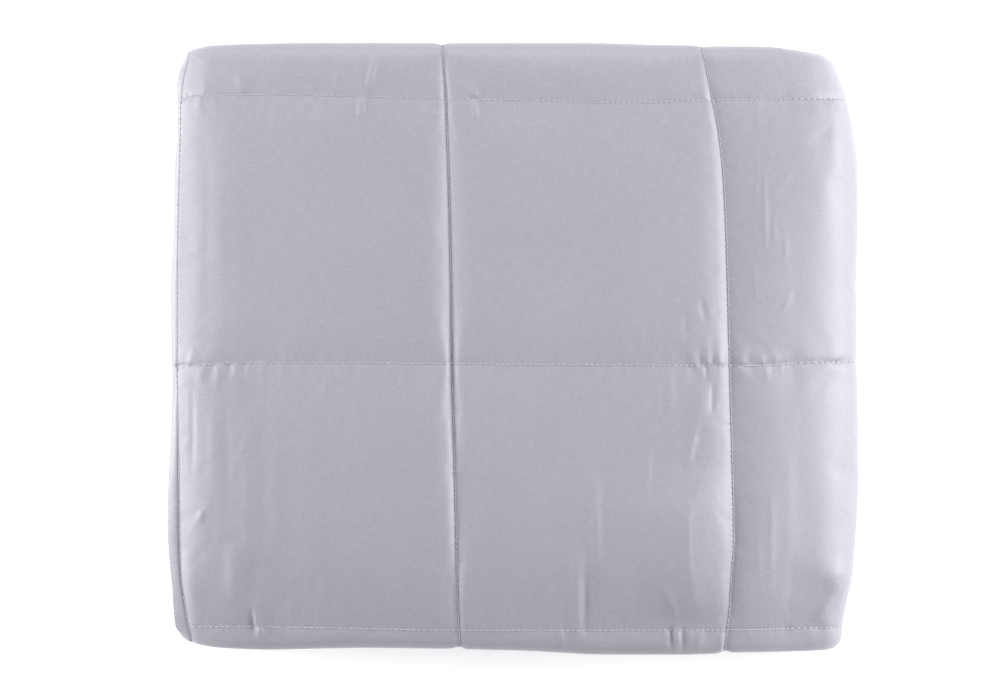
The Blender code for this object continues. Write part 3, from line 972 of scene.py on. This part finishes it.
def closed_cloth(face, back, rows_along, rows_across):
    """One closed skin of a fine face and a coarser back that share their rim.

    It gives the points, the polygons, and which of the back's points are inside its rim.
    """
    rows, columns = face.shape[:2]
    points = [tuple(point) for point in face.reshape(-1, 3)]
    inner = np.zeros(back.shape[:2], bool)
    polygons = [
        (i * columns + j, (i + 1) * columns + j, (i + 1) * columns + j + 1, i * columns + j + 1)
        for i in range(rows - 1)
        for j in range(columns - 1)
    ]
    number = {}
    for a, i in enumerate(rows_along):
        for b, j in enumerate(rows_across):
            if i in (0, rows - 1) or j in (0, columns - 1):
                number[i, j] = i * columns + j
            else:
                number[i, j] = len(points)
                points.append(tuple(back[a, b]))
                inner[a, b] = True
    for i, k in zip(rows_along, rows_along[1:]):
        for j, m in zip(rows_across, rows_across[1:]):
            start = [i * columns + c for c in range(j + 1, m)] if i == 0 else []
            far = [c + k * columns for c in range(m - 1, j, -1)] if k == rows - 1 else []
            low = [r * columns for r in range(k - 1, i, -1)] if j == 0 else []
            high = [r * columns + m for r in range(i + 1, k)] if m == columns - 1 else []
            ring = (number[i, j], *start, number[i, m], *high, number[k, m], *far, number[k, j], *low)
            if i == 0 or j == 0 or k == rows - 1 or m == columns - 1:
                polygons += fan(ring, number[k if i == 0 else i, m if j == 0 else j])
            else:
                polygons.append(ring)
    return points, polygons, inner


# %% The quilted cloth
def grid_names(rows_along, rows_across):
    """The two distances that name each point of a grid."""
    return np.stack(np.meshgrid(rows_along, rows_across, indexing="ij"), axis=-1)


def object_of(name, points, polygons):
    mesh = bpy.data.meshes.new(name)
    mesh.from_pydata(points, [], polygons)
    thing = bpy.data.objects.new(name, mesh)
    bpy.context.scene.collection.objects.link(thing)
    mesh.shade_smooth()
    mesh.calc_loop_triangles()
    print(name, "has", len(mesh.loop_triangles), "triangles")
    return thing


def give_distances(mesh, names):
    """Writes each point's two distances to the corners of its faces."""
    corners = np.empty(len(mesh.loops), int)
    mesh.loops.foreach_get("vertex_index", corners)
    layer = mesh.uv_layers.new(name="along_and_across")
    layer.uv.foreach_set("vector", names[corners].astype(np.float32).ravel())


back_along, back_across = thinned(ROWS_ALONG, 0.007), thinned(ROWS_ACROSS, 0.009)
back_points = cloth_points(ROWS_ALONG[back_along], ROWS_ACROSS[back_across], -1)
points, polygons, inner = closed_cloth(face_points, back_points, back_along, back_across)
cloth = object_of("quilted_cloth", points, polygons)
face_names = grid_names(ROWS_ALONG, ROWS_ACROSS).reshape(-1, 2)
back_names = grid_names(ROWS_ALONG[back_along], ROWS_ACROSS[back_across])[inner]
give_distances(cloth.data, np.concatenate([face_names, back_names]))
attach(cloth, "root")
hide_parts("blanket")

# %% [markdown]
# ## The thread
#
# The seams are sewn with thick pale thread, and each stitch lies on the cloth
# like a grain of rice with its ends pulled in. One stitch is modelled from a
# short cylinder, and copies of it are laid along every seam that shows, all in
# one mesh, because a thousand objects would be slow.

# %% Model one stitch
STITCH_PITCH, STITCH_LONG, THREAD = 0.0030, 0.0024, 0.00056


def select_end(mesh_object, side):
    """Selects the flat end of the stitch that faces along +X or -X."""
    bpy.ops.mesh.select_all(action="DESELECT")
    bpy.ops.object.mode_set(mode="OBJECT")
    ends = [face.center.x * side for face in mesh_object.data.polygons]
    mesh_object.data.polygons[ends.index(max(ends))].select = True
    bpy.ops.object.mode_set(mode="EDIT")


bpy.ops.object.select_all(action="DESELECT")
bpy.ops.mesh.primitive_cylinder_add(
    vertices=6, radius=THREAD / 2, depth=STITCH_LONG * 0.45, rotation=(0, math.pi / 2, 0)
)
stitch = bpy.context.object
stitch.name = "one_stitch"
bpy.ops.object.transform_apply(location=True, rotation=True, scale=True)
bpy.ops.object.mode_set(mode="EDIT")
bpy.ops.mesh.select_mode(type="FACE")
for side in (1, -1):
    for step, drop, size in ((0.17, 0.08, 0.85), (0.105, 0.16, 0.5)):
        select_end(stitch, side)
        bpy.ops.mesh.extrude_region_move(
            TRANSFORM_OT_translate={"value": (side * STITCH_LONG * step, 0, -drop * MM)}
        )
        bpy.ops.transform.resize(value=(1, size, size))
bpy.ops.object.mode_set(mode="OBJECT")
stitch_points = np.array([vertex.co for vertex in stitch.data.vertices])
stitch_faces = [tuple(face.vertices) for face in stitch.data.polygons]
bpy.data.objects.remove(stitch)
print("one stitch:", len(stitch_faces), "faces,", round(np.ptp(stitch_points[:, 0]) / MM, 2), "mm long")

# %% Lay stitches along a row of the cloth
STITCH_SEED = 5
STITCH_SLANT = 0.10
SINK_IN = 0.00010
face_normals = normals_of(face_points)
shaky = random.Random(STITCH_SEED)
thread_points, thread_faces = [], []


def lay_stitch(place, ahead, up):
    """Copies the stitch to a place, pointing ahead, and lying on the face."""
    ahead = ahead / np.linalg.norm(ahead)
    side = np.cross(up, ahead)
    side /= np.linalg.norm(side)
    up = np.cross(ahead, side)
    turn = STITCH_SLANT + shaky.uniform(-0.05, 0.05)
    size = shaky.uniform(0.92, 1.06)
    frame_of = np.stack([
        ahead * math.cos(turn) + side * math.sin(turn),
        side * math.cos(turn) - ahead * math.sin(turn),
        up,
    ])
    first = len(thread_points) * len(stitch_points)
    middle = place + up * (THREAD / 2 - SINK_IN)
    thread_points.append(stitch_points * size @ frame_of + middle)
    thread_faces.extend(tuple(first + k for k in face) for face in stitch_faces)


def sew(places, line, normals, start, end):
    """Stitches between two distances on a row of points; places are its distances."""
    tangents = np.gradient(line, places, axis=0)
    count = round((end - start) / STITCH_PITCH)
    at = start + (end - start) * (np.arange(count) + 0.5) / count
    spots = smooth_line(places, line, tangents, at)
    for k, distance in enumerate(at):
        ahead = [np.interp(distance, places, tangents[:, axis]) for axis in range(3)]
        up = [np.interp(distance, places, normals[:, axis]) for axis in range(3)]
        lay_stitch(spots[k], np.array(ahead), np.array(up))


def row_at(places, distance):
    return int(np.abs(places - distance).argmin())


# %% Sew every seam that shows
FIRST_STITCH = HEM + 0.002  # where the seams across the cloth start, past the hem line


def sew_to_back(distance, spans):
    """Sews along the row at a distance along the cloth, over spans across it."""
    k = row_at(ROWS_ALONG, distance)
    for start, end in spans:
        sew(ROWS_ACROSS, face_points[k], face_normals[k], start, end)


def sew_to_right(distance, spans):
    """Sews along the row at a distance across the cloth, over spans along it."""
    k = row_at(ROWS_ACROSS, distance)
    for start, end in spans:
        sew(ROWS_ALONG, face_points[:, k], face_normals[:, k], start, end)


sew_to_back(HEM, [SHOWS_ACROSS])
for seam in SEAMS_ALONG[:2]:
    sew_to_back(seam, [SHOWS_ACROSS])
for seam in SEAMS_ALONG[2:]:
    sew_to_back(seam, [(SHOWS_ACROSS[0], PANEL[0]), (PANEL[1], SHOWS_ACROSS[1])])
for seam in SEAMS_ACROSS:
    sew_to_right(seam, [(FIRST_STITCH, SHOWS_ALONG), (ALONG_STARTS[3], ALONG_STARTS[4])])
thread = object_of("seam_thread", np.concatenate(thread_points), thread_faces)
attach(thread, "root")
print(len(thread_points), "stitches")

# %% [markdown]
# ## The satin
#
# Satin is woven so that long smooth threads cover its face. It looks soft and a
# little glossy, with fine streaks where threads are thicker. The weave reads the
# two distances, so it follows the cloth round every fold. The streaks are a node
# group, because the satin uses them six times, each at a scale of its own. At
# every stitch the needle hole is drawn as a small dark spot of painted shade.

# %% Small helpers for nodes
def add_node(tree, kind, **settings):
    node = tree.nodes.new(kind)
    for name, value in settings.items():
        setattr(node, name, value)
    return node


def calculated(tree, operation, first, second=0.0, third=0.0):
    """A Math node on numbers or other nodes' outputs; gives its output."""
    node = add_node(tree, "ShaderNodeMath", operation=operation)
    for socket, value in zip(node.inputs, (first, second, third)):
        if isinstance(value, (int, float)):
            socket.default_value = value
        else:
            tree.links.new(value, socket)
    return node.outputs[0]


def between(tree, value, low, high):
    """Spreads a value that runs from 0 to 1 over another range."""
    return calculated(tree, "MULTIPLY_ADD", value, high - low, low)


def summed(tree, *parts):
    """Adds up values, each times its own share."""
    value, share = parts[0]
    total = calculated(tree, "MULTIPLY", value, share)
    for value, share in parts[1:]:
        total = calculated(tree, "MULTIPLY_ADD", value, share, total)
    return total


# %% A group for streaks of thick and thin thread
def streak_group():
    tree = bpy.data.node_groups.new("thread_streaks", "ShaderNodeTree")
    sockets = (("Distances", "INPUT", "Vector"), ("Along", "INPUT", "Float"), ("Across", "INPUT", "Float"))
    for name, way, kind in (*sockets, ("Streak", "OUTPUT", "Float")):
        tree.interface.new_socket(name=name, in_out=way, socket_type="NodeSocket" + kind)
    given, out = add_node(tree, "NodeGroupInput"), add_node(tree, "NodeGroupOutput")
    size = add_node(tree, "ShaderNodeCombineXYZ")
    tree.links.new(given.outputs["Along"], size.inputs[0])
    tree.links.new(given.outputs["Across"], size.inputs[1])
    scaled = add_node(tree, "ShaderNodeVectorMath", operation="MULTIPLY")
    tree.links.new(given.outputs["Distances"], scaled.inputs[0])
    tree.links.new(size.outputs[0], scaled.inputs[1])
    speckle = add_node(tree, "ShaderNodeTexNoise", noise_dimensions="2D")
    speckle.inputs["Scale"].default_value = 1.0
    speckle.inputs["Detail"].default_value = 2.0
    tree.links.new(scaled.outputs[0], speckle.inputs["Vector"])
    tree.links.new(speckle.outputs["Fac"], out.inputs["Streak"])
    return tree


STREAKS = streak_group()
print("streaks take", [item.name for item in STREAKS.interface.items_tree])


def streaks(tree, distances, along, across):
    """Streaks with this many changes in a metre along and across."""
    node = add_node(tree, "ShaderNodeGroup", node_tree=STREAKS)
    node.inputs["Along"].default_value, node.inputs["Across"].default_value = along, across
    tree.links.new(distances, node.inputs["Distances"])
    return node.outputs["Streak"]


# %% How near a point is to a seam
def to_nearest(tree, distance, first, spacing):
    """The distance to the nearest of evenly spaced seams, in metres."""
    moved = calculated(tree, "SUBTRACT", distance, first - spacing / 2)
    share = calculated(tree, "FLOORED_MODULO", moved, spacing)
    return calculated(tree, "ABSOLUTE", calculated(tree, "SUBTRACT", share, spacing / 2))


def painted_hole_shade(tree, beside_seam, distance, first, size):
    """Painted shade at the needle holes: 1 where the needle went in, every stitch along a seam, and less
    away from there.
    """
    beside_hole = to_nearest(tree, distance, first, STITCH_PITCH)
    squares = calculated(tree, "MULTIPLY", beside_hole, beside_hole)
    squares = calculated(tree, "MULTIPLY_ADD", beside_seam, beside_seam, squares)
    return calculated(tree, "EXPONENT", calculated(tree, "MULTIPLY", squares, -1 / size**2))


def fades(tree, distance, reach):
    """1 at no distance, and less with every reach away."""
    return calculated(tree, "EXPONENT", calculated(tree, "MULTIPLY", distance, -1 / reach))


# %% The satin itself
SATIN_DARK, SATIN_LIGHT = (0.366, 0.366, 0.434, 1), (0.421, 0.421, 0.491, 1)
# Painted shade: the size, near-black colour and strength of the dark spots mixed into the satin at each
# needle hole.
PAINTED_HOLE_SHADE_SIZE, PAINTED_HOLE_SHADE_COLOUR, PAINTED_HOLE_SHADE_SHARE = 0.00050, (0.12, 0.12, 0.15, 1), 0.55
satin = bpy.data.materials.new("light_grey_satin")
satin.use_nodes = True
tree = satin.node_tree
shader = tree.nodes["Principled BSDF"]
distances = add_node(tree, "ShaderNodeUVMap", uv_map="along_and_across").outputs[0]
parts = add_node(tree, "ShaderNodeSeparateXYZ")
tree.links.new(distances, parts.inputs[0])
along, across = parts.outputs[0], parts.outputs[1]

beside_cross = to_nearest(tree, across, float(SEAMS_ACROSS[0]), CELL_ACROSS)
beside_back = to_nearest(tree, along, 0.0, CELL_ALONG)
# Painted shade at the needle holes of the seams across and along the cloth.
cross_hole_shade = painted_hole_shade(tree, beside_cross, along, FIRST_STITCH + STITCH_PITCH / 2, PAINTED_HOLE_SHADE_SIZE)
back_hole_shade = painted_hole_shade(tree, beside_back, across, float(SHOWS_ACROSS[0]) + STITCH_PITCH / 2, PAINTED_HOLE_SHADE_SIZE)
painted_hole_shade_mask = calculated(tree, "MAXIMUM", cross_hole_shade, back_hole_shade)
weft = streaks(tree, distances, 190, 1500)
warp = streaks(tree, distances, 1400, 150)
cloudy = streaks(tree, distances, 28, 22)
grain = streaks(tree, distances, 2200, 2200)
mixed = summed(tree, (warp, 0.34), (weft, 0.40), (grain, 0.50), (cloudy, 0.10))
colour = add_node(tree, "ShaderNodeMix", data_type="RGBA")
colour.inputs["A"].default_value, colour.inputs["B"].default_value = SATIN_DARK, SATIN_LIGHT
tree.links.new(between(tree, mixed, -2.4, 1.95), colour.inputs["Factor"])
# Painted shade: the satin's colour is darkened towards near-black at every needle hole.
shaded = add_node(tree, "ShaderNodeMix", data_type="RGBA")
shaded.inputs["B"].default_value = PAINTED_HOLE_SHADE_COLOUR
tree.links.new(calculated(tree, "MULTIPLY", painted_hole_shade_mask, PAINTED_HOLE_SHADE_SHARE), shaded.inputs["Factor"])
tree.links.new(colour.outputs["Result"], shaded.inputs["A"])
tree.links.new(shaded.outputs["Result"], shader.inputs["Base Color"])
tree.links.new(between(tree, mixed, 0.40, 0.58), shader.inputs["Roughness"])
shader.inputs["Specular IOR Level"].default_value = 0.9
shader.inputs["Sheen Weight"].default_value = 0.25
shader.inputs["Sheen Roughness"].default_value = 0.4
print("satin from", SATIN_DARK[:3], "to", SATIN_LIGHT[:3])

# %% Fine relief: the weave, and small puckers that every stitch pulls
crosswise, lengthwise = streaks(tree, distances, 400, 50), streaks(tree, distances, 50, 420)
crosswise = calculated(tree, "MULTIPLY", fades(tree, beside_cross, 0.0030), crosswise)
lengthwise = calculated(tree, "MULTIPLY", fades(tree, beside_back, 0.0022), lengthwise)
relief = summed(
    tree, (lengthwise, 0.00035), (crosswise, 0.00028), (weft, 0.000024), (warp, 0.000018), (grain, 0.000012)
)
bump = add_node(tree, "ShaderNodeBump")
bump.inputs["Strength"].default_value = 1.0
bump.inputs["Distance"].default_value = 1.0
tree.links.new(relief, bump.inputs["Height"])
tree.links.new(bump.outputs["Normal"], shader.inputs["Normal"])
cloth.data.materials.append(satin)
print("satin has", len(tree.nodes), "nodes")

# %% The thread's finish, with the twist of its strands
pale_thread = bpy.data.materials.new("pale_thread")
pale_thread.use_nodes = True
tree = pale_thread.node_tree
shader = tree.nodes["Principled BSDF"]
place = add_node(tree, "ShaderNodeTexCoord").outputs["Object"]
strands = add_node(tree, "ShaderNodeTexWave", bands_direction="DIAGONAL")
strands.inputs["Scale"].default_value = 900
tree.links.new(place, strands.inputs["Vector"])
strand_colour = add_node(tree, "ShaderNodeMix", data_type="RGBA")
strand_colour.inputs["A"].default_value = (0.50, 0.50, 0.54, 1)
strand_colour.inputs["B"].default_value = (0.64, 0.64, 0.68, 1)
tree.links.new(strands.outputs["Fac"], strand_colour.inputs["Factor"])
tree.links.new(strand_colour.outputs["Result"], shader.inputs["Base Color"])
shader.inputs["Roughness"].default_value = 0.55
strand_bump = add_node(tree, "ShaderNodeBump")
strand_bump.inputs["Strength"].default_value = 0.4
strand_bump.inputs["Distance"].default_value = 0.0001
tree.links.new(strands.outputs["Fac"], strand_bump.inputs["Height"])
tree.links.new(strand_bump.outputs["Normal"], shader.inputs["Normal"])
thread.data.materials.append(pale_thread)
print("thread finished")

# %% [markdown]
# ## Floor and light
#
# Satin is drawn by its light. Two soft boxes stand low at the left and right,
# so a slope to either side turns bright and the flat top stays grey. A third
# box behind lights the back rim. Two weak ones, close to the floor, reach the
# front rim and the underside of the roll. The front gets the least light. The
# floor is white and glows a little, as a lit sweep does.

# %% The floor
bpy.ops.object.select_all(action="DESELECT")
bpy.ops.mesh.primitive_plane_add(size=6.0, location=(0, 0, -0.0004))
floor = bpy.context.object
floor.name = "floor"
pale = bpy.data.materials.new("pale_floor")
pale.use_nodes = True
shader = pale.node_tree.nodes["Principled BSDF"]
shader.inputs["Base Color"].default_value = (0.75, 0.75, 0.76, 1)
shader.inputs["Roughness"].default_value = 0.9
shader.inputs["Emission Color"].default_value = (1, 1, 1, 1)
shader.inputs["Emission Strength"].default_value = 0.62
floor.data.materials.append(pale)


# %% Soft boxes
WARM = (1.0, 0.985, 0.952)


def softbox(name, place, size, power, tint=(1, 1, 1)):
    light = bpy.data.lights.new(name, "AREA")
    light.shape = "RECTANGLE"
    light.size, light.size_y = size
    light.energy, light.color = power, tint
    holder = bpy.data.objects.new(name, light)
    holder.location = place
    holder.rotation_euler = (-Vector(place)).to_track_quat("-Z", "Y").to_euler()
    bpy.context.scene.collection.objects.link(holder)


softbox("left_light", (-1.5, 0.10, 0.50), (0.6, 1.0), 25.6, WARM)
softbox("right_light", (1.45, 0.10, 0.78), (0.6, 1.0), 25.2, WARM)
softbox("back_light", (0.0, 1.5, 1.0), (1.2, 0.8), 11.4)
softbox("low_front_light", (0.0, -1.5, 0.10), (1.6, 0.3), 2.5)
softbox("low_right_light", (1.5, 0.0, 0.12), (0.3, 1.0), 2.4, WARM)
world = bpy.data.worlds.new("studio")
world.use_nodes = True
world.node_tree.nodes["Background"].inputs["Color"].default_value = (1, 1, 1, 1)
world.node_tree.nodes["Background"].inputs["Strength"].default_value = 0.238
bpy.context.scene.world = world
bpy.context.scene.view_settings.view_transform = "Standard"
print("five lights and a pale world")

# %% Bring the scene up to date
bpy.context.view_layer.update()
